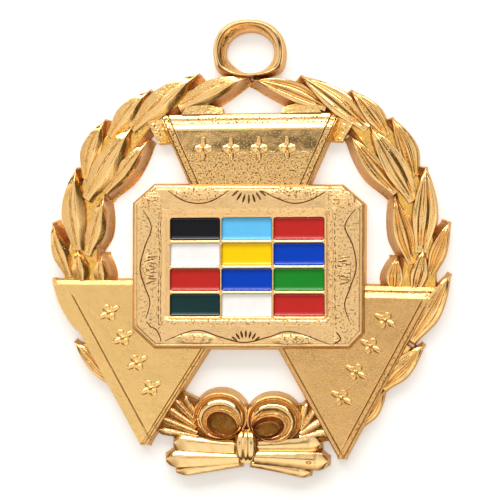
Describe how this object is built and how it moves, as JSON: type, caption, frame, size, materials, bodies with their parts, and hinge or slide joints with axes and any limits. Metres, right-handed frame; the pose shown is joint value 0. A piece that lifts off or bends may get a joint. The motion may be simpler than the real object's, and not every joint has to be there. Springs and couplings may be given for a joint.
{
  "type": "collar jewel",
  "caption": "Cast wreath-shaped collar jewel with three triangular plates, an enamelled breastplate, a bow and a suspension loop.",
  "frame": {"origin": "under the middle of the jewel, on the plane of its back", "axes": "+Z out of the face, +Y toward the suspension loop, +X to the right as the face is seen"},
  "size_m": [0.0669, 0.0766, 0.0038],
  "materials": {
    "gold": "polished gold plate on a cast body, with fine casting grain in the recesses",
    "enamel_black": "gloss soft enamel, recessed",
    "enamel_sky": "gloss soft enamel, recessed",
    "enamel_red": "gloss soft enamel, recessed",
    "enamel_white": "gloss soft enamel, recessed",
    "enamel_yellow": "gloss soft enamel, recessed",
    "enamel_blue": "gloss soft enamel, recessed",
    "enamel_green": "gloss soft enamel, recessed",
    "enamel_teal": "gloss soft enamel, recessed"
  },
  "bodies": {
    "root": {"jewel_casting": "gold", "enamel_row1_column1": "enamel_black", "enamel_row1_column2": "enamel_sky", "enamel_row1_column3": "enamel_red", "enamel_row2_column1": "enamel_white", "enamel_row2_column2": "enamel_yellow", "enamel_row2_column3": "enamel_blue", "enamel_row3_column1": "enamel_red", "enamel_row3_column2": "enamel_blue", "enamel_row3_column3": "enamel_green", "enamel_row4_column1": "enamel_teal", "enamel_row4_column2": "enamel_white", "enamel_row4_column3": "enamel_red"}
  },
  "joints": []
}
